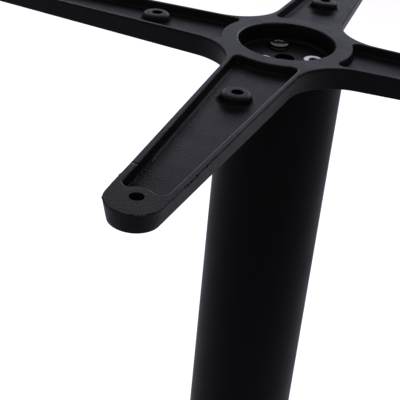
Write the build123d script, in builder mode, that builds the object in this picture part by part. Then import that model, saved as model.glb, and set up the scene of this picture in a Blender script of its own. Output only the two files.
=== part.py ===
from build123d import *
import os
from math import asin, cos, radians, sin, tan

# Bar table base: a cast four-arm spider screwed to a round steel column, which stands on a low cast disc.
# Millimetres, floor at Z = 0, column on the Z axis, spider arms along X and Y.

# Whole base
total_height = 1050.0          # floor to the spider's top face

# Fasteners: low-head M6 socket screws on split spring washers, the same at both ends of the column
screw_count = 3
screw_circle_radius = 18.5
thread_diameter = 6.0
screw_length = 16.0
head_diameter = 13.2
head_height = 1.9
head_edge_radius = 0.9
socket_sides = 6
socket_width = 5.0             # across flats
socket_depth = 1.6
socket_entry_diameter = 6.7
socket_entry_slope = 30.0      # degrees, lead-in of the socket
screw_point = 0.8              # chamfer at the end of the thread
washer_diameter = 11.8
washer_thickness = 1.2
washer_clearance = 0.2         # washer bore round the thread, on radius
washer_slit = 1.0
tapped_clearance = 0.1         # tapped hole round the thread, on radius
through_clearance = 0.5        # hole in a casting round the thread, on radius

# Spider hub
tool_clearance = 5.1           # screw head to recess wall
recess_depth = 11.3
recess_draft = 5.0             # degrees
recess_floor_radius = 2.0
hub_floor = 3.2
hub_ring_width = 10.6
centre_hole_diameter = 12.5
hub_corner_radius = 31.0       # between neighbouring arms

# Spider arms
arm_count = 4
arm_reach = 213.5              # hub centre to tip hole
arm_root_half_width = 25.5     # the arm's sides carried on to the hub centre
tip_overhang = 1.0             # tip hole to the middle of the round tip
tip_radius = 14.4
tip_thickness = 11.0
arm_draft = 12.5               # degrees
arm_hole_diameter = 7.0
underside_start = 40.0         # the arms thin out from here to their tips
underside_blend = 200.0
underside_stock = 1.0          # taken off again by the underside's own shape
top_edge_radius = 0.9
bottom_edge_radius = 0.7

# Pockets in the arms' tops, with a screw boss standing in each
rim_root_width = 3.1
rim_tip_width = 3.6
pocket_depth = 5.6
pocket_draft = 12.0            # degrees
pocket_corner_radius = 4.0
pocket_floor_radius = 1.5
pocket_edge_radius = 0.9
tip_pad_radius = 8.5
boss_reach = 87.9
boss_radius = 8.5
boss_draft = 3.0               # degrees
boss_top_radius = 3.0
boss_foot_radius = 2.0
boss_root = 1.0                # how far a boss is cast into the pocket floor

# Column
column_diameter = 76.0
column_wall = 2.0
plate_thickness = 8.0
weld_clearance = 0.1

# Base disc and feet
base_radius = 225.0
base_rim_height = 10.0
base_seat_height = 18.0        # underside to the column's seat
base_seat_margin = 8.0         # seat beyond the column
base_floor = 6.0               # left above the screw recess
base_rim_radius = 4.0
base_bottom_radius = 1.5
foot_count = 4
foot_inset = 30.0              # base edge to foot centre
foot_radius = 12.0
foot_height = 5.0
foot_edge_radius = 1.5
foot_spigot_radius = 4.0
foot_spigot_length = 6.0
spigot_clearance = 0.1

# Derived sizes
thread_radius = thread_diameter / 2
head_radius = head_diameter / 2
socket_entry_radius = socket_entry_diameter / 2
screw_hole_radius = thread_radius + through_clearance
centre_hole_radius = centre_hole_diameter / 2
arm_hole_radius = arm_hole_diameter / 2
recess_radius = screw_circle_radius + head_radius + tool_clearance
hub_ring_radius = recess_radius + hub_ring_width
hub_thickness = recess_depth + hub_floor
tip_reach = arm_reach + tip_overhang
column_radius = column_diameter / 2
foot_circle_radius = base_radius - foot_inset
foot_angle = 180 / foot_count  # the first foot stands between two arms

# Heights
base_bottom_z = foot_height
column_bottom_z = base_bottom_z + base_seat_height
base_screw_z = column_bottom_z - base_floor
hub_bottom_z = total_height - hub_thickness
spider_screw_z = total_height - recess_depth
tip_bottom_z = total_height - tip_thickness

spider_top = Plane.XY.offset(total_height)
spider_screw_plane = Plane.XY.offset(spider_screw_z)
base_screw_plane = Plane((0, 0, base_screw_z), x_dir=(1, 0, 0), z_dir=(0, 0, -1))

# The arm's sides are the common tangents of a circle at the hub and the tip's own circle
side_angle = asin((arm_root_half_width - tip_radius) / tip_reach)
arm_root = (0, arm_root_half_width / cos(side_angle))
arm_tip = (tip_reach + tip_radius * sin(side_angle), tip_radius * cos(side_angle))
arm_end = tip_reach + tip_radius


def across(near, far):
    """Corners of a shape that is the same on both sides of the X axis."""
    return [(near[0], near[1]), (near[0], -near[1]), (far[0], -far[1]), (far[0], far[1])]


def around_axis(edge):
    """True for a circle about the column's axis, such as where the underside's slope starts."""
    return edge.geom_type == GeomType.CIRCLE and Axis.Z.is_coaxial(Axis(edge.arc_center, (0, 0, 1)))


# Spider: one casting. Its pocket and boss shapes are made with the spider's top face at Z = 0
with BuildPart() as pocket_core:
    # The shape that leaves one pocket: hub ring at one end, tip pad at the other, corners rounded by a cutter
    with BuildSketch() as pocket_outline:
        pocket_root = (0, arm_root_half_width - rim_root_width)
        pocket_end = (arm_reach, tip_radius - rim_tip_width)
        Polygon(*across(pocket_root, pocket_end), align=None)
        Circle(hub_ring_radius, mode=Mode.SUBTRACT)
        with Locations((arm_reach, 0)):
            Circle(tip_pad_radius, mode=Mode.SUBTRACT)
        offset(amount=-pocket_corner_radius, kind=Kind.ARC, mode=Mode.REPLACE)
        offset(amount=pocket_corner_radius, kind=Kind.ARC, mode=Mode.REPLACE)
    extrude(amount=-pocket_depth, taper=pocket_draft)
    fillet(pocket_core.faces().sort_by(Axis.Z)[0].edges(), pocket_floor_radius)

with BuildPart() as boss:
    # Drafted round boss with a well rounded top edge
    with BuildSketch(Plane.XZ) as boss_section:
        boss_height = pocket_depth + boss_root
        with BuildLine():
            Polyline(
                (0, -boss_height),
                (boss_radius + boss_height * tan(radians(boss_draft)), -boss_height),
                (boss_radius, 0),
                (0, 0),
                close=True,
            )
        make_face()
        fillet(boss_section.vertices().group_by(Axis.Y)[-1].sort_by(Axis.X)[-1], boss_top_radius)
    revolve(axis=Axis.Z)

with BuildPart(spider_top) as top_spider:
    # Four tapered arms with round tips, blended at the hub and drafted towards the underside
    with BuildSketch(spider_top) as spider_outline:
        with PolarLocations(0, arm_count):
            Polygon(*across(arm_root, arm_tip), align=None)
        with PolarLocations(tip_reach, arm_count):
            Circle(tip_radius)
        fillet(spider_outline.vertices().sort_by_distance((0, 0, 0))[:arm_count], hub_corner_radius)
    extrude(amount=-hub_thickness - underside_stock, taper=arm_draft)

    # Flat seat under the hub, then the underside rises towards the tips
    with BuildSketch(Plane.XZ):
        with BuildLine():
            underside = FilletPolyline(
                (0, hub_bottom_z),
                (underside_start, hub_bottom_z),
                (arm_end, tip_bottom_z),
                radius=underside_blend,
            )
            Polyline(underside @ 1, (arm_end, total_height), (0, total_height), underside @ 0)
        make_face()
    revolve(axis=Axis.Z, mode=Mode.INTERSECT)
    lower_edges = top_spider.edges().filter_by(lambda edge: edge.bounding_box().max.Z <= tip_bottom_z)
    fillet(lower_edges.filter_by(around_axis, reverse=True), bottom_edge_radius)

    # Pockets, then the round recess for the screw heads
    with PolarLocations(0, arm_count):
        add(pocket_core.part, mode=Mode.SUBTRACT)
    with BuildSketch(Plane.XZ) as recess_section:
        recess_floor_edge = recess_radius - recess_depth * tan(radians(recess_draft))
        with BuildLine():
            Polyline(
                (0, spider_screw_z),
                (recess_floor_edge, spider_screw_z),
                (recess_radius, total_height),
                (0, total_height),
                close=True,
            )
        make_face()
        fillet(recess_section.vertices().group_by(Axis.Y)[0].sort_by(Axis.X)[-1], recess_floor_radius)
    revolve(axis=Axis.Z, mode=Mode.SUBTRACT)

    # Cast edges
    top_face = top_spider.faces().filter_by(Axis.Z).sort_by(Axis.Z)[-1]
    rim_edges = top_face.outer_wire().edges()
    pocket_edges = top_face.inner_wires().edges()
    fillet(rim_edges, top_edge_radius)
    fillet(pocket_edges, pocket_edge_radius)

    # Bosses, each with a softened foot
    with PolarLocations(boss_reach, arm_count):
        add(boss.part)
    fillet(top_spider.edges(Select.NEW).group_by(Axis.Z)[0], boss_foot_radius)

    # Holes: tips and bosses for the table top, three screws and an open centre hole in the recess floor
    with PolarLocations(arm_reach, arm_count):
        Hole(arm_hole_radius)
    with PolarLocations(boss_reach, arm_count):
        Hole(arm_hole_radius)
    with PolarLocations(screw_circle_radius, screw_count):
        Hole(screw_hole_radius)
    Hole(centre_hole_radius)

# Screw and spring washer, seat at Z = 0
with BuildPart() as screw:
    with BuildSketch(Plane.XZ) as screw_section:
        with BuildLine():
            Polyline(
                (0, head_height),
                (0, -screw_length),
                (thread_radius - screw_point, -screw_length),
                (thread_radius, screw_point - screw_length),
                (thread_radius, 0),
                (head_radius, 0),
                (head_radius, head_height),
                close=True,
            )
        make_face()
        fillet(screw_section.vertices().group_by(Axis.Y)[-1].sort_by(Axis.X)[-1], head_edge_radius)
    revolve(axis=Axis.Z)
    with BuildSketch(Plane.XY.offset(head_height)):
        RegularPolygon(socket_width / 2, socket_sides, major_radius=False)
    extrude(amount=-socket_depth, mode=Mode.SUBTRACT)
    with Locations((0, 0, head_height)):
        Cone(
            0,
            socket_entry_radius,
            socket_entry_radius * tan(radians(socket_entry_slope)),
            align=(Align.CENTER, Align.CENTER, Align.MAX),
            mode=Mode.SUBTRACT,
        )

with BuildPart() as spring_washer:
    with BuildSketch():
        Circle(washer_diameter / 2)
        Circle(thread_radius + washer_clearance, mode=Mode.SUBTRACT)
        with Locations((washer_diameter / 2, 0)):
            Rectangle(washer_diameter, washer_slit, mode=Mode.SUBTRACT)
    extrude(amount=washer_thickness)

with BuildPart(spider_screw_plane.offset(washer_thickness)) as spider_screws:
    with PolarLocations(screw_circle_radius, screw_count):
        add(screw.part)

with BuildPart(spider_screw_plane) as spider_spring_washers:
    with PolarLocations(screw_circle_radius, screw_count):
        add(spring_washer.part)

with BuildPart(base_screw_plane.offset(washer_thickness)) as base_screws:
    with PolarLocations(screw_circle_radius, screw_count):
        add(screw.part)

with BuildPart(base_screw_plane) as base_spring_washers:
    with PolarLocations(screw_circle_radius, screw_count):
        add(spring_washer.part)

# Column: a tube with a tapped plate welded into each end, flush with the tube
with BuildPart() as column_tube:
    with BuildSketch(Plane.XY.offset(column_bottom_z)):
        Circle(column_radius)
        Circle(column_radius - column_wall, mode=Mode.SUBTRACT)
    extrude(amount=hub_bottom_z - column_bottom_z)

with BuildPart() as end_plate:
    with BuildSketch():
        Circle(column_radius - column_wall - weld_clearance)
        Circle(centre_hole_radius, mode=Mode.SUBTRACT)
        with PolarLocations(screw_circle_radius, screw_count):
            Circle(thread_radius + tapped_clearance, mode=Mode.SUBTRACT)
    extrude(amount=plate_thickness)

with BuildPart(Plane.XY.offset(hub_bottom_z - plate_thickness)) as column_top_plate:
    add(end_plate.part)

with BuildPart(Plane.XY.offset(column_bottom_z)) as column_bottom_plate:
    add(end_plate.part)

# Base: a low-crowned cast disc with a screw recess under the column
with BuildPart() as base_disc:
    with BuildSketch(Plane.XZ) as base_section:
        seat_edge = (column_radius + base_seat_margin, column_bottom_z)
        rim_top = (base_radius, base_bottom_z + base_rim_height)
        with BuildLine():
            TangentArc(seat_edge, rim_top, tangent=(1, 0))
            Polyline(rim_top, (base_radius, base_bottom_z), (0, base_bottom_z), (0, column_bottom_z), seat_edge)
        make_face()
        fillet(base_section.vertices().group_by(Axis.X)[-1].sort_by(Axis.Y)[-1], base_rim_radius)
        fillet(base_section.vertices().group_by(Axis.X)[-1].sort_by(Axis.Y)[0], base_bottom_radius)
    revolve(axis=Axis.Z)
    with BuildSketch(base_screw_plane):
        Circle(recess_radius)
    extrude(amount=base_screw_z - base_bottom_z, mode=Mode.SUBTRACT)
    with PolarLocations(screw_circle_radius, screw_count):
        Hole(screw_hole_radius)
    Hole(centre_hole_radius)
    with BuildSketch(Plane.XY.offset(base_bottom_z)):
        with PolarLocations(foot_circle_radius, foot_count, start_angle=foot_angle):
            Circle(foot_spigot_radius + spigot_clearance)
    extrude(amount=foot_spigot_length + spigot_clearance, mode=Mode.SUBTRACT)

# Feet: plain pads pressed into the underside of the base
with BuildPart() as foot:
    with BuildSketch():
        Circle(foot_radius)
    extrude(amount=foot_height)
    fillet(foot.edges().sort_by(Axis.Z)[0], foot_edge_radius)
    with BuildSketch(Plane.XY.offset(foot_height)):
        Circle(foot_spigot_radius)
    extrude(amount=foot_spigot_length)

pieces = {
    "top_spider": top_spider.part,
    "spider_screws": spider_screws.part,
    "spider_spring_washers": spider_spring_washers.part,
    "column_tube": column_tube.part,
    "column_top_plate": column_top_plate.part,
    "column_bottom_plate": column_bottom_plate.part,
    "base_disc": base_disc.part,
    "base_screws": base_screws.part,
    "base_spring_washers": base_spring_washers.part,
}

foot_places = PolarLocations(foot_circle_radius, foot_count, start_angle=foot_angle)
for number, place in enumerate(foot_places, start=1):
    with BuildPart() as placed_foot:
        with Locations(place):
            add(foot.part)
    pieces[f"foot_{number}"] = placed_foot.part

os.makedirs("parts", exist_ok=True)
for name, piece in pieces.items():
    piece.label = name
    export_step(piece, f"parts/{name}.step")
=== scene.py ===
import math

import bmesh
import bpy
from mathutils import Matrix, Vector, noise


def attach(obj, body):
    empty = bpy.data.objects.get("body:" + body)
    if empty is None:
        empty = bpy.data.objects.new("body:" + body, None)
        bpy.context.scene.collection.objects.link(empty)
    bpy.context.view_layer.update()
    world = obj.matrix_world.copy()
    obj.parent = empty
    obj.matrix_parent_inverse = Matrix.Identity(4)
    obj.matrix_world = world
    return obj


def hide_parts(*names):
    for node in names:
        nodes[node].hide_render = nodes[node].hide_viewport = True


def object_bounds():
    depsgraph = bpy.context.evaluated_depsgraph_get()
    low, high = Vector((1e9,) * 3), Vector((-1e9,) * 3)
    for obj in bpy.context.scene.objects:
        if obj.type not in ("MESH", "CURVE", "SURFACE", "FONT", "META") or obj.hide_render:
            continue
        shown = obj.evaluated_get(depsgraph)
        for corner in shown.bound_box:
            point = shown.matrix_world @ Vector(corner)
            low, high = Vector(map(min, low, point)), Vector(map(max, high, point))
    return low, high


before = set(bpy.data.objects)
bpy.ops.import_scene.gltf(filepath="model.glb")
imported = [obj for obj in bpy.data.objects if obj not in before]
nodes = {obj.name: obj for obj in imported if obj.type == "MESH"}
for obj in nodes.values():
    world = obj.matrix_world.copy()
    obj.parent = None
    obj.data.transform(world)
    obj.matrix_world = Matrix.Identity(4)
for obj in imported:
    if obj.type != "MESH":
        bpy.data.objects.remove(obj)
cad_low, cad_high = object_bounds()

# Sizes are in metres. A distance is from the hub centre, and a drop is down from the spider's top face.
TOP_Z = 1.05
ARM_COUNT = 4
FOOT_COUNT = 4
QUARTER_TURN = math.pi / 2

# The spider's outline seen from above: straight tapered sides, round tips and round inner corners
TIP_REACH = 0.2145
TIP_RADIUS = 0.0144
ROOT_HALF_WIDTH = 0.0255
CORNER_RADIUS = 0.031
SIDE_ANGLE = math.asin((ROOT_HALF_WIDTH - TIP_RADIUS) / TIP_REACH)
SIDE_OUT = Vector((math.sin(SIDE_ANGLE), math.cos(SIDE_ANGLE)))
SIDE_ALONG = Vector((math.cos(SIDE_ANGLE), -math.sin(SIDE_ANGLE)))
CORNER_CENTRE = Vector((1, 1)) * ((ROOT_HALF_WIDTH + CORNER_RADIUS) / (SIDE_OUT.x + SIDE_OUT.y))

# The foot of the pocket walls: half width carried on to the hub centre, and its loss along the arm
POCKET_ROOT = 0.0209
POCKET_TAPER = 0.0543
POCKET_DEPTH = 0.0056

# The edge of the hub's round recess lies within this distance
RECESS_REACH = 0.036

# A boss as drawn: a hole in a flat top, a rounded edge, a drafted wall and a softened foot
BOSS_REACH = 0.0879
BOSS_HOLE = 0.0035
BOSS_FLAT = 0.0055
BOSS_EDGE = 0.0030
BOSS_RADIUS = 0.0085
BOSS_DRAFT = math.radians(3.0)
BOSS_FOOT_REACH = 0.0108

# The same boss as cast: a fuller dome with a wider foot, set a little to the left of its hole
DOME_FLAT = 0.0042
DOME_REACH = 0.0046
DOME_FALL = 0.0028
DOME_FULLNESS = 0.75
DOME_FOOT_SPREAD = 1.4
DOME_SHIFT = Vector((-0.0006, 0.0))

# The rounding along the top edge: its reach as drawn, and its size against that by the hub and the tips
EDGE_REACH = 0.00115
HUB_EDGE_DISTANCE = 0.062
HUB_EDGE_SIZE = 1.55
TIP_EDGE_DISTANCE = 0.200
TIP_EDGE_SIZE = 0.45

# The nearest arm, which carries the flaws, and how far down they reach
NEAR_ARM_START = 0.05
NEAR_ARM_HALF_WIDTH = 0.03
FLAWED_FROM = 0.118
FLAW_DROP = 0.004

# The nearest tip stands out on its left side, more at its underside than at its top
TIP_SET_START = 0.190
TIP_SET_RUN = 0.014
TIP_SET_SIDE = 0.012
TIP_SET_TOP = 0.00022
TIP_SET_LEAN = 0.045

# Lumps on the left edge: distance and height of each
LEFT_LUMPS = ((0.1997, 0.0003), (0.2078, 0.0001), (0.2212, 0.00028))
LUMP_HALF_LENGTH = 0.0016
LUMP_TOP_DROP = 0.0001
LUMP_END_DROP = 0.0010

# The nick across the left rim: its middle, its slant, and its steep and long sides
NICK_PLACE = Vector((-0.0130, -0.1867))
NICK_SLOPE = 0.08
NICK_DEPTH = 0.0005
NICK_HALF_WIDTH = 0.0024
NICK_STEEP_SIDE = 0.0006
NICK_LONG_SIDE = 0.0018
NICK_DROP = 0.0005
# The nick's faces that face back past this, and lie deeper than the next, get the glossier coat of a
# painted highlight
NICK_FACING = 0.05
NICK_HIGHLIGHT_DEPTH = 0.00005

# The torn coat along the right edge: distance, half length and weight of each stretch, and its strokes,
# coarse and fine, by their rate along the edge, their lean, their rate down it and a seed
TEARS = ((0.206, 0.010, 0.3), (0.188, 0.016, 1.2), (0.160, 0.035, 0.6))
TEAR_END = 0.2135
TEAR_DEPTH = 0.0006
TEAR_MIDDLE_DROP = 0.0006
TEAR_HALF_HEIGHT = 0.0026
TEAR_BIAS = 0.1
TEAR_COARSE = (420.0, 500.0, 1300.0, 0.4)
TEAR_FINE = (1100.0, 900.0, 2600.0, 2.7)
TEAR_FINE_SHARE = 0.7
TEAR_SAG = 0.3
# Faces cut deeper than this are black without sheen: painted shade in the cracks
CRACK_SHADE_DEPTH = 0.0004

# Chips on the front edge of the nearest tip, seen from above
FRONT_CHIPS = ((0.0028, -0.2279), (0.0061, -0.2272), (0.0077, -0.2264), (0.0091, -0.2254))
CHIP_RADIUS = 0.0006
CHIP_DROP = 0.0005

# Fine cuts that give the flaws points to move: start, end and pitch of each run
WALL_CUTS = (TOP_Z - 0.0013, TOP_Z - 0.0033, 0.0003)
ARM_CUTS = ((-FLAWED_FROM, -0.1800, 0.0013), (-0.1804, -0.1980, 0.0004), (-0.1988, -0.2130, 0.0008))
RIM_CUTS = (-0.0152, -0.0112, 0.0004)
TIP_CUTS = (0.0010, 0.0105, 0.0005)
EDGE_BAND_DROP = 0.0012
WALL_FACING = 0.8
WALL_START_X = 0.012
NICKED_RIM_X = -0.010
NICKED_RIM_Y = (-0.1905, -0.1835)
NEAR_TIP_FRONT_Y = -0.2185

# Where a glossier copy of the coat paints highlights: the shoulders of the bosses and the inner edges of
# the top face, on the faces that turn toward the light
HIGHLIGHT_DROP = 0.0008
SHOULDER_SLOPE = (0.6, 0.96)
SHOULDER_FACING = -0.25
INNER_EDGE_DEPTH = 0.0018
INNER_EDGE_SLOPE = (0.3, 0.995)
RECESS_EDGE_FACING = 0.3
POCKET_EDGE_FACING_X = 0.2
POCKET_EDGE_FACING_Y = 0.25

# Sand grains in the pockets: number of grains, start and length of the row that they lie in
NEAR_GRAINS = (22, 0.170, 0.032)
FAR_GRAINS = (12, 0.110, 0.09)
GRAIN_SPREAD = 0.0020
GRAIN_SMALLEST = 0.0003
GRAIN_SIZE_RANGE = 0.0013
GRAIN_LEVEL = TOP_Z - 0.0054
GRAIN_LIFT = 0.0002
GRAIN_WIDTH = 1.3
GRAIN_HEIGHT = 0.4
GRAIN_DRAWS = 4
NUMBER_SEED = 7.31
ARM_SEED = 41.7
DRAW_SEED = 13.9
GRAIN_SEED = 3.3

# Working tolerances
SAME_LEVEL = 1e-6
TOUCH = 1e-5
MERGE_DISTANCE = 1e-6
CUT_TOLERANCE = 1e-7
SHARP_ANGLE = math.radians(35)

# Finishes of the spider's faces, in the order of its material slots; the two glossier coats paint
# highlights, and the black one without sheen paints shade in the torn cracks
COATED, EDGE_HIGHLIGHT, TORN_CRACK_SHADE, CHIPPED, SHOULDER_HIGHLIGHT = range(5)

# Colours and the band of the noise that they spread over
COAT_DARK = (0.0008, 0.0008, 0.0009)
CAST_COAT_LIGHT = (0.0014, 0.0014, 0.0016)
TUBE_COAT_LIGHT = (0.0012, 0.0012, 0.0014)
NOISE_LOW = 0.3
NOISE_HIGH = 0.7
COAT_ROUGHNESS_SPREAD = 0.04
COAT_SWELL = 0.00008

# Camera: a long lens above and in front of the nearest arm, slightly rolled
CAMERA_PLACE = (0.142621, -0.530985, 1.260027)
CAMERA_AZIMUTH = math.radians(19.671)
CAMERA_ELEVATION = math.radians(31.051)
CAMERA_ROLL = math.radians(5.216)
CAMERA_LENS = 84.33
CAMERA_SENSOR = 36.0
CAMERA_NEAR = 0.02
CAMERA_FAR = 100.0

# Studio: a wide pale floor, white surroundings and one broad softbox behind the object
FLOOR_HALF_WIDTH = 12.0
FLOOR_COLOUR = (0.62, 0.615, 0.64, 1)
FLOOR_ROUGHNESS = 0.9
FLOOR_LIFT_COLOUR = (1.03, 1.0, 1.15, 1)
FLOOR_LIFT = 0.45
BACKDROP_COLOUR = (1.01, 1, 1.1, 1)
BACKDROP_LIGHT = 0.83
BACKDROP_WHITE = 1.0
SOFTBOX_PLACE = (-0.50, 2.50, 2.10)
SOFTBOX_WIDTH = 3.4
SOFTBOX_HEIGHT = 1.0
SOFTBOX_ENERGY = 29.0
SOFTBOX_COLOUR = (0.95, 0.97, 1.25)


def clamped(value, low=0.0, high=1.0):
    return min(max(value, low), high)


def set_socket(node, name, value):
    node.inputs[name].default_value = value


class Finish:
    """A node material with its shader, and short calls for the nodes that feed it."""

    def __init__(self, name):
        self.material = bpy.data.materials.new(name)
        self.material.use_nodes = True
        self.tree = self.material.node_tree
        self.shader = self.tree.nodes["Principled BSDF"]
        self.place = self.tree.nodes.new("ShaderNodeTexCoord").outputs["Object"]

    def node(self, kind, **settings):
        made = self.tree.nodes.new(kind)
        for name, value in settings.items():
            setattr(made, name, value)
        return made

    def link(self, output, target):
        self.tree.links.new(output, target)

    def noise(self, scale, detail, roughness):
        made = self.node("ShaderNodeTexNoise")
        set_socket(made, "Scale", scale)
        set_socket(made, "Detail", detail)
        set_socket(made, "Roughness", roughness)
        self.link(self.place, made.inputs["Vector"])
        return made.outputs["Fac"]

    def mottle(self, value, dark, light, smooth, rough):
        """Spread the surface's colour and roughness over a noise."""
        colours = self.node("ShaderNodeValToRGB")
        stops = ((NOISE_LOW, dark), (NOISE_HIGH, light))
        for element, (position, colour) in zip(colours.color_ramp.elements, stops):
            element.position = position
            element.color = (*colour, 1)
        self.link(value, colours.inputs["Fac"])
        self.link(colours.outputs["Color"], self.shader.inputs["Base Color"])
        level = self.node("ShaderNodeMapRange", clamp=True)
        set_socket(level, "From Min", NOISE_LOW)
        set_socket(level, "From Max", NOISE_HIGH)
        set_socket(level, "To Min", smooth)
        set_socket(level, "To Max", rough)
        self.link(value, level.inputs["Value"])
        self.link(level.outputs["Result"], self.shader.inputs["Roughness"])

    def bump(self, height, distance, strength=1.0, under=None):
        made = self.node("ShaderNodeBump")
        set_socket(made, "Strength", strength)
        set_socket(made, "Distance", distance)
        self.link(height, made.inputs["Height"])
        if under is not None:
            self.link(under, made.inputs["Normal"])
        return made.outputs["Normal"]


def cast_coat(name, gloss, roughness, grain_height):
    """Satin black coat over sand-cast iron: orange-peel grain, a slow swell and patchy gloss."""
    finish = Finish(name)
    set_socket(finish.shader, "Specular IOR Level", gloss)
    grain = finish.noise(scale=1000.0, detail=2.0, roughness=0.6)
    swell = finish.noise(scale=160.0, detail=2.0, roughness=0.5)
    patches = finish.noise(scale=60.0, detail=3.0, roughness=0.6)
    smooth = roughness - COAT_ROUGHNESS_SPREAD
    rough = roughness + COAT_ROUGHNESS_SPREAD
    finish.mottle(patches, COAT_DARK, CAST_COAT_LIGHT, smooth, rough)
    slow = finish.bump(swell, COAT_SWELL)
    finish.link(finish.bump(grain, grain_height, under=slow), finish.shader.inputs["Normal"])
    return finish.material


def bare_iron_and_crack_shade(name, dark, light):
    """Rough matte iron without sheen where the coat is gone; made black, it is painted shade in the cracks
    of the torn coat.
    """
    finish = Finish(name)
    set_socket(finish.shader, "Specular IOR Level", 0.0)
    grain = finish.noise(scale=1500.0, detail=3.0, roughness=0.6)
    finish.mottle(grain, (dark, dark, dark), (light, light, light), smooth=0.7, rough=0.9)
    return finish.material


def tube_coat():
    """Even satin black coat on the drawn steel column."""
    finish = Finish("tube_coat")
    set_socket(finish.shader, "Specular IOR Level", 0.026)
    grain = finish.noise(scale=1400.0, detail=2.0, roughness=0.5)
    patches = finish.noise(scale=25.0, detail=2.0, roughness=0.5)
    finish.mottle(patches, COAT_DARK, TUBE_COAT_LIGHT, smooth=0.42, rough=0.50)
    finish.link(finish.bump(grain, distance=0.0001, strength=0.3), finish.shader.inputs["Normal"])
    return finish.material


def zinc():
    """Bright zinc plate, slightly uneven."""
    finish = Finish("zinc_plate")
    set_socket(finish.shader, "Metallic", 1.0)
    patches = finish.noise(scale=500.0, detail=3.0, roughness=0.6)
    finish.mottle(patches, (0.048, 0.046, 0.044), (0.064, 0.061, 0.058), smooth=0.16, rough=0.24)
    return finish.material


def spring_steel():
    """Dull dark spring steel."""
    finish = Finish("spring_steel")
    set_socket(finish.shader, "Metallic", 1.0)
    patches = finish.noise(scale=700.0, detail=3.0, roughness=0.6)
    finish.mottle(patches, (0.10, 0.10, 0.10), (0.18, 0.18, 0.18), smooth=0.4, rough=0.55)
    return finish.material


def foot_rubber():
    """Matte black rubber."""
    finish = Finish("foot_rubber")
    set_socket(finish.shader, "Specular IOR Level", 0.2)
    patches = finish.noise(scale=800.0, detail=3.0, roughness=0.6)
    finish.mottle(patches, (0.010, 0.010, 0.010), (0.016, 0.016, 0.016), smooth=0.6, rough=0.75)
    return finish.material


def dress(node, material):
    mesh = nodes[node].data
    mesh.materials.clear()
    mesh.materials.append(material)


def finished_mesh(bm, name):
    mesh = bpy.data.meshes.new(name)
    bm.to_mesh(mesh)
    bm.free()
    return mesh


def linked_object(name, data):
    made = bpy.data.objects.new(name, data)
    bpy.context.scene.collection.objects.link(made)
    return made


def arm_turn(point):
    """The turn from the first arm to the arm that a point belongs to."""
    return Matrix.Rotation(round(math.atan2(point.y, point.x) / QUARTER_TURN) * QUARTER_TURN, 2)


def rim_place(point):
    """How far inside the spider's outline a point lies, and the way out of the outline there."""
    turn = arm_turn(point)
    local = turn.transposed() @ point.xy
    side = -1 if local.y < 0 else 1
    local.y *= side
    along = local.dot(SIDE_ALONG)
    if along > TIP_REACH * math.cos(SIDE_ANGLE):
        out = local - Vector((TIP_REACH, 0))
        depth = TIP_RADIUS - out.length
    elif along < CORNER_CENTRE.dot(SIDE_ALONG):
        out = CORNER_CENTRE - local
        depth = out.length - CORNER_RADIUS
    else:
        out = SIDE_OUT.copy()
        depth = ROOT_HALF_WIDTH - local.dot(SIDE_OUT)
    out.normalize()
    out.y *= side
    return depth, turn @ out


def boss_offset(point):
    """From the axis of the nearest boss to a point, seen from above."""
    return point.xy - arm_turn(point) @ Vector((BOSS_REACH, 0))


def dome_place(radius, drop):
    """Where a point of a drawn boss, by its distance from the axis and its drop, lies on the cast dome."""
    if drop < SAME_LEVEL:
        flat_share = (DOME_FLAT - BOSS_HOLE) / (BOSS_FLAT - BOSS_HOLE)
        return BOSS_HOLE + (radius - BOSS_HOLE) * flat_share, drop
    edge_end = BOSS_EDGE * (1.0 - math.sin(BOSS_DRAFT))
    if drop < edge_end:
        tilt = math.atan2(radius - BOSS_FLAT, BOSS_EDGE - drop)
        along = math.sin(tilt) ** DOME_FULLNESS
        return DOME_FLAT + DOME_REACH * along, DOME_FALL * (1.0 - math.cos(tilt) ** DOME_FULLNESS)
    dome_end = DOME_FALL * (1.0 - math.sin(BOSS_DRAFT) ** DOME_FULLNESS)
    share = (drop - edge_end) / (POCKET_DEPTH - edge_end)
    foot = DOME_FLAT + DOME_REACH + DOME_FOOT_SPREAD * (radius - BOSS_RADIUS)
    return foot, dome_end + (POCKET_DEPTH - dome_end) * share


def edge_size(distance):
    """Size of the top edge's rounding against the drawn one."""
    share = (distance - HUB_EDGE_DISTANCE) / (TIP_EDGE_DISTANCE - HUB_EDGE_DISTANCE)
    return HUB_EDGE_SIZE + (TIP_EDGE_SIZE - HUB_EDGE_SIZE) * clamped(share)


def swell_at(value, centre, half_width):
    """A smooth hump: 1 at its centre and 0 beyond its half width."""
    share = abs(value - centre) / half_width
    return 0.0 if share >= 1.0 else (1.0 - share * share) ** 2


def tear_noise(distance, drop, along, slant, down, seed):
    """Ragged strokes that run along the edge and lean with the drop."""
    return noise.noise(Vector((distance * along + drop * slant, drop * down, seed)))


def tear_depth(place, drop):
    """Depth of the torn coat along the right edge of the nearest arm: long shallow strokes."""
    distance = -place.y
    reach = sum(weight * swell_at(distance, centre, half) for centre, half, weight in TEARS)
    reach *= swell_at(drop, TEAR_MIDDLE_DROP, TEAR_HALF_HEIGHT)
    ragged = tear_noise(distance, drop, *TEAR_COARSE)
    ragged += TEAR_FINE_SHARE * tear_noise(distance, drop, *TEAR_FINE)
    return TEAR_DEPTH * min(reach, 1.0) * max(ragged + TEAR_BIAS, 0.0)


def tip_set(place, drop):
    """How far the nearest tip stands out on its left side."""
    share = clamped((-place.y - TIP_SET_START) / TIP_SET_RUN) * clamped(-place.x / TIP_SET_SIDE)
    return share * (TIP_SET_TOP + TIP_SET_LEAN * drop)


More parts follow.
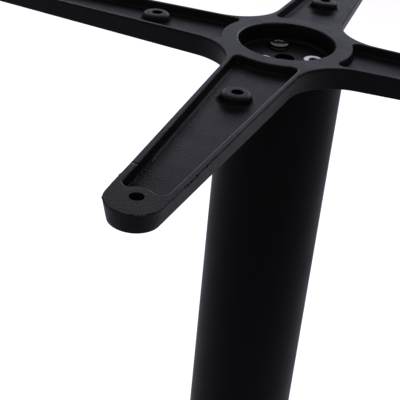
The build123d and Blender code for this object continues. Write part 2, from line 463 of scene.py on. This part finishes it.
def nick_depth(place):
    """Depth of the nick across the left rim: steep on the hub side, long on the tip side."""
    across = place.y - NICK_PLACE.y - (place.x - NICK_PLACE.x) * NICK_SLOPE
    reach = NICK_STEEP_SIDE if across > 0 else NICK_LONG_SIDE
    return NICK_DEPTH * swell_at(across, 0.0, reach) * swell_at(place.x, NICK_PLACE.x, NICK_HALF_WIDTH)


def lump_height(place):
    """How far the left edge of the nearest arm stands out in lumps."""
    return sum(height * swell_at(-place.y, centre, LUMP_HALF_LENGTH) for centre, height in LEFT_LUMPS)


def steps(start, end, pitch):
    count = round(abs(end - start) / pitch)
    return [start + (end - start) * number / count for number in range(count + 1)]


def cut_across(bm, wanted, places, axis):
    """Cut the wanted faces at the given places along an axis."""
    picked = [face for face in bm.faces if wanted(face)]
    edges = {edge for face in picked for edge in face.edges}
    corners = {corner for face in picked for corner in face.verts}
    geometry = picked + list(edges) + list(corners)
    across = Vector((0, 0, 0))
    across[axis] = 1.0
    for place in places:
        cut = bmesh.ops.bisect_plane(
            bm, geom=geometry, dist=CUT_TOLERANCE, plane_co=across * place, plane_no=across)
        geometry = cut["geom"]


def in_edge_band(face):
    return min(corner.co.z for corner in face.verts) > TOP_Z - EDGE_BAND_DROP


def on_near_arm_wall(face):
    centre = face.calc_center_median()
    return face.normal.x > WALL_FACING and centre.x > WALL_START_X and centre.y < -FLAWED_FROM


def on_near_arm_side(face):
    on_edge = min(corner.co.y for corner in face.verts) < -FLAWED_FROM and in_edge_band(face)
    return on_edge or on_near_arm_wall(face)


def on_nicked_rim(face):
    centre = face.calc_center_median()
    along_rim = NICKED_RIM_Y[0] < centre.y < NICKED_RIM_Y[1]
    return centre.x < NICKED_RIM_X and along_rim and centre.z > TOP_Z - EDGE_BAND_DROP


def on_near_tip_edge(face):
    return max(corner.co.y for corner in face.verts) < NEAR_TIP_FRONT_Y and in_edge_band(face)


def cut_for_flaws(bm):
    """Divide the nearest arm's edge, wall, rim and tip where the flaws lie."""
    along_arm = [place for run in ARM_CUTS for place in steps(*run)]
    cut_across(bm, on_near_arm_wall, steps(*WALL_CUTS), axis=2)
    cut_across(bm, on_near_arm_side, along_arm, axis=1)
    cut_across(bm, on_nicked_rim, steps(*RIM_CUTS), axis=0)
    cut_across(bm, on_near_tip_edge, steps(*TIP_CUTS), axis=0)


def shape_boss(vertex, offset, drop):
    """Move a point of a drawn boss to the cast dome."""
    radius, dome_drop = dome_place(offset.length, drop)
    vertex.co.xy += offset * (radius / offset.length - 1.0) + DOME_SHIFT
    vertex.co.z = TOP_Z - dome_drop


def shape_top(vertex, place, drop):
    """Fit a point of the spider's upper part to the cast edge and the flaws, and give its depth of tear."""
    depth, out = rim_place(place)
    near_arm = place.y < -NEAR_ARM_START and abs(place.x) < NEAR_ARM_HALF_WIDTH
    outward = 0.0
    tear = 0.0
    if drop < EDGE_REACH and depth < EDGE_REACH:
        size = edge_size(math.hypot(place.x, place.y))
        outward = depth * (1.0 - size)
        vertex.co.z = TOP_Z - drop * size
        if near_arm and place.x < 0 and LUMP_TOP_DROP < drop < LUMP_END_DROP:
            outward += lump_height(place)
    if near_arm and place.x > 0 and depth < EDGE_REACH and drop > TOUCH and place.y > -TEAR_END:
        tear = tear_depth(place, drop)
        outward -= tear
        vertex.co.z -= TEAR_SAG * tear
    if near_arm and place.x < 0 and drop < NICK_DROP:
        vertex.co.z -= nick_depth(place)
    vertex.co.x = clamped(vertex.co.x + out.x * outward, cad_low[0], cad_high[0])
    vertex.co.y = clamped(vertex.co.y + out.y * outward, cad_low[1], cad_high[1])
    return tear


def shape_casting(bm):
    """Give the drawn spider its cast form, and return the depth of tear at its points."""
    torn = {}
    for vertex in bm.verts:
        place = vertex.co.copy()
        drop = TOP_Z - place.z
        vertex.co.x -= tip_set(place, drop)
        offset = boss_offset(place)
        if BOSS_HOLE + TOUCH < offset.length < BOSS_FOOT_REACH and drop < POCKET_DEPTH + TOUCH:
            shape_boss(vertex, offset, drop)
        elif drop <= FLAW_DROP:
            torn[vertex.index] = shape_top(vertex, place, drop)
    return torn


def highlighted_edge(face, centre):
    """Whether an inner edge, by the way it faces, gets the glossier coat of a painted highlight: round the
    recess, and round the nearest arm's pocket.
    """
    if centre.xy.length < RECESS_REACH:
        return face.normal.x > RECESS_EDGE_FACING
    if centre.y < -RECESS_REACH and abs(centre.x) < NEAR_ARM_HALF_WIDTH:
        return face.normal.x < POCKET_EDGE_FACING_X or face.normal.y > POCKET_EDGE_FACING_Y
    return False


def face_finish(face, torn):
    """The finish that a face of the casting shows."""
    centre = face.calc_center_median()
    drop = TOP_Z - centre.z
    slope = face.normal.z
    if drop > FLAW_DROP:
        return COATED
    depth = rim_place(centre)[0]
    # Deep torn faces are black without sheen: painted shade in the cracks
    if sum(torn.get(corner.index, 0.0) for corner in face.verts) > CRACK_SHADE_DEPTH:
        return TORN_CRACK_SHADE
    # The nick's faces that turn away from the camera get the glossier coat, a painted highlight
    in_nick = centre.x < 0 and drop < HIGHLIGHT_DROP and nick_depth(centre) > NICK_HIGHLIGHT_DEPTH
    if in_nick and face.normal.y > NICK_FACING:
        return EDGE_HIGHLIGHT
    if depth < EDGE_REACH and drop < CHIP_DROP:
        chipped = any((centre.xy - Vector(chip)).length < CHIP_RADIUS for chip in FRONT_CHIPS)
        return CHIPPED if chipped else COATED
    if boss_offset(centre).length < BOSS_FOOT_REACH:
        # Boss shoulders not turned toward the camera get the glossier coat, a painted highlight
        on_shoulder = SHOULDER_SLOPE[0] < slope < SHOULDER_SLOPE[1] and drop < DOME_FALL
        return SHOULDER_HIGHLIGHT if on_shoulder and face.normal.y > SHOULDER_FACING else COATED
    # Inner edges turned toward the light get the glossier coat, a painted highlight
    inner_edge = depth > INNER_EDGE_DEPTH and drop < HIGHLIGHT_DROP
    if inner_edge and INNER_EDGE_SLOPE[0] < slope < INNER_EDGE_SLOPE[1] and highlighted_edge(face, centre):
        return EDGE_HIGHLIGHT
    return COATED


def even_shading(piece):
    """Smooth the roundings while the large flat faces keep their own direction."""
    piece.data.set_sharp_from_angle(angle=SHARP_ANGLE)
    weigh = piece.modifiers.new("even_shading", "WEIGHTED_NORMAL")
    weigh.keep_sharp = True
    graph = bpy.context.evaluated_depsgraph_get()
    rough = piece.data
    piece.data = bpy.data.meshes.new_from_object(piece.evaluated_get(graph), depsgraph=graph)
    piece.modifiers.clear()
    bpy.data.meshes.remove(rough)


def cast_spider(coat, edge_highlight_coat, shoulder_highlight_coat):
    """The spider as cast: domed bosses, a top edge that tightens toward the tips, and its flaws."""
    bm = bmesh.new()
    bm.from_mesh(nodes["top_spider"].data)
    bmesh.ops.remove_doubles(bm, verts=bm.verts, dist=MERGE_DISTANCE)
    cut_for_flaws(bm)
    bmesh.ops.triangulate(bm, faces=bm.faces)
    bm.verts.index_update()
    torn = shape_casting(bm)
    bm.normal_update()
    for face in bm.faces:
        face.smooth = True
        face.material_index = face_finish(face, torn)
    mesh = finished_mesh(bm, "cast_spider")
    if "custom_normal" in mesh.attributes:
        mesh.attributes.remove(mesh.attributes["custom_normal"])
    # Black without sheen: painted shade in the cracks of the torn coat
    torn_crack_shade = bare_iron_and_crack_shade("torn_crack_shade", dark=0.0008, light=0.002)
    chipped_edge = bare_iron_and_crack_shade("chipped_edge", dark=0.02, light=0.04)
    for material in (coat, edge_highlight_coat, torn_crack_shade, chipped_edge, shoulder_highlight_coat):
        mesh.materials.append(material)
    piece = linked_object("cast_spider", mesh)
    even_shading(piece)
    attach(piece, "root")
    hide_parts("top_spider")


def grain_chance(arm, number, draw):
    """A draw between 0 and 1 that is the same on each run."""
    spot = Vector((number * NUMBER_SEED + arm * ARM_SEED, draw * DRAW_SEED, GRAIN_SEED))
    return 0.5 + 0.5 * noise.noise(spot)


def sand_specks(grain_highlight_coat):
    """Grains caught under the coat along the foot of the pocket walls, most on the nearest arm, in the
    glossier coat that paints a highlight on them.
    """
    bm = bmesh.new()
    for arm in range(ARM_COUNT):
        turn = Matrix.Rotation(-QUARTER_TURN * (arm + 1), 4, "Z")
        count, start, length = NEAR_GRAINS if arm == 0 else FAR_GRAINS
        for number in range(count):
            chance = [grain_chance(arm, number, draw) for draw in range(GRAIN_DRAWS)]
            distance = start + length * (number + chance[0]) / count
            foot = POCKET_ROOT - POCKET_TAPER * distance + GRAIN_SPREAD * (chance[1] - 0.5)
            side = -1 if arm == 0 or number % 2 else 1
            size = GRAIN_SMALLEST + GRAIN_SIZE_RANGE * chance[2] ** 2
            place = turn @ Vector((distance, side * foot, 0))
            place.z = GRAIN_LEVEL + GRAIN_LIFT * chance[3]
            spread = Matrix.Diagonal((size * GRAIN_WIDTH, size * GRAIN_WIDTH, size * GRAIN_HEIGHT, 1))
            shape = Matrix.Translation(place) @ spread
            bmesh.ops.create_icosphere(bm, subdivisions=2, radius=1.0, matrix=shape)
    for face in bm.faces:
        face.smooth = True
    mesh = finished_mesh(bm, "sand_specks")
    mesh.materials.append(grain_highlight_coat)
    piece = linked_object("sand_specks", mesh)
    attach(piece, "root")


def background_share(tree):
    """1 for a ray that looks at the background, straight or in a reflection, and 0 for one that lights."""
    path = tree.nodes.new("ShaderNodeLightPath")
    first = tree.nodes.new("ShaderNodeMath")
    first.operation = "MAXIMUM"
    second = tree.nodes.new("ShaderNodeMath")
    second.operation = "MAXIMUM"
    tree.links.new(path.outputs["Is Camera Ray"], first.inputs[0])
    tree.links.new(path.outputs["Is Glossy Ray"], first.inputs[1])
    tree.links.new(first.outputs[0], second.inputs[0])
    tree.links.new(path.outputs["Is Transmission Ray"], second.inputs[1])
    return second.outputs[0]


def studio_floor():
    """Wide pale floor that looks white where no shadow falls."""
    bm = bmesh.new()
    bmesh.ops.create_grid(bm, x_segments=1, y_segments=1, size=FLOOR_HALF_WIDTH)
    mesh = finished_mesh(bm, "studio_floor")
    floor = linked_object("studio_floor", mesh)
    finish = Finish("studio_floor")
    set_socket(finish.shader, "Base Color", FLOOR_COLOUR)
    set_socket(finish.shader, "Roughness", FLOOR_ROUGHNESS)
    set_socket(finish.shader, "Specular IOR Level", 0.0)
    set_socket(finish.shader, "Emission Color", FLOOR_LIFT_COLOUR)
    lift = finish.node("ShaderNodeMath", operation="MULTIPLY")
    finish.link(background_share(finish.tree), lift.inputs[0])
    lift.inputs[1].default_value = FLOOR_LIFT
    finish.link(lift.outputs[0], finish.shader.inputs["Emission Strength"])
    mesh.materials.append(finish.material)


def studio_light():
    """White surroundings and one broad cool softbox behind the object."""
    world = bpy.data.worlds.new("studio")
    bpy.context.scene.world = world
    world.use_nodes = True
    tree = world.node_tree
    backdrop = tree.nodes["Background"]
    set_socket(backdrop, "Color", BACKDROP_COLOUR)
    level = tree.nodes.new("ShaderNodeMapRange")
    tree.links.new(background_share(tree), level.inputs["Value"])
    set_socket(level, "To Min", BACKDROP_LIGHT)
    set_socket(level, "To Max", BACKDROP_WHITE)
    tree.links.new(level.outputs["Result"], backdrop.inputs["Strength"])
    lamp = bpy.data.lights.new("softbox", "AREA")
    lamp.shape = "RECTANGLE"
    lamp.size = SOFTBOX_WIDTH
    lamp.size_y = SOFTBOX_HEIGHT
    lamp.energy = SOFTBOX_ENERGY
    lamp.color = SOFTBOX_COLOUR
    box = linked_object("softbox", lamp)
    box.location = SOFTBOX_PLACE
    aim = Vector((0, 0, TOP_Z)) - box.location
    box.rotation_euler = aim.to_track_quat("-Z", "Y").to_euler()


def photo_camera():
    """Camera at the photograph's place, with its slight roll."""
    data = bpy.data.cameras.new("photo_camera")
    data.sensor_width = CAMERA_SENSOR
    data.lens = CAMERA_LENS
    data.clip_start = CAMERA_NEAR
    data.clip_end = CAMERA_FAR
    camera = linked_object("photo_camera", data)
    sin_a, cos_a = math.sin(CAMERA_AZIMUTH), math.cos(CAMERA_AZIMUTH)
    sin_e, cos_e = math.sin(CAMERA_ELEVATION), math.cos(CAMERA_ELEVATION)
    back = Vector((sin_a * cos_e, -cos_a * cos_e, sin_e))
    right = Vector((cos_a, sin_a, 0))
    up = back.cross(right)
    turned_right = right * math.cos(CAMERA_ROLL) + up * math.sin(CAMERA_ROLL)
    turned_up = up * math.cos(CAMERA_ROLL) - right * math.sin(CAMERA_ROLL)
    turn = Matrix((turned_right, turned_up, back)).transposed()
    camera.matrix_world = Matrix.Translation(CAMERA_PLACE) @ turn.to_4x4()
    bpy.context.scene.camera = camera


coat = cast_coat("cast_coat", gloss=0.043, roughness=0.47, grain_height=0.00036)
# A glossier copy of the coat that paints highlights on the inner edges and in the nick
edge_highlight_coat = cast_coat("edge_highlight_coat", gloss=0.12, roughness=0.32, grain_height=0.0001)
# A glossier copy of the coat that paints highlights on the boss shoulders and on the sand grains
shoulder_highlight_coat = cast_coat("shoulder_highlight_coat", gloss=0.06, roughness=0.4, grain_height=0.0002)
cast_spider(coat, edge_highlight_coat, shoulder_highlight_coat)
sand_specks(shoulder_highlight_coat)
dress("base_disc", coat)
dress("column_tube", tube_coat())
plating = zinc()
springs = spring_steel()
rubber = foot_rubber()
for node in ("spider_screws", "base_screws"):
    dress(node, plating)
for node in ("spider_spring_washers", "base_spring_washers", "column_top_plate", "column_bottom_plate"):
    dress(node, springs)
for number in range(1, FOOT_COUNT + 1):
    dress(f"foot_{number}", rubber)

studio_floor()
studio_light()
photo_camera()
bpy.context.scene.view_settings.view_transform = "Standard"
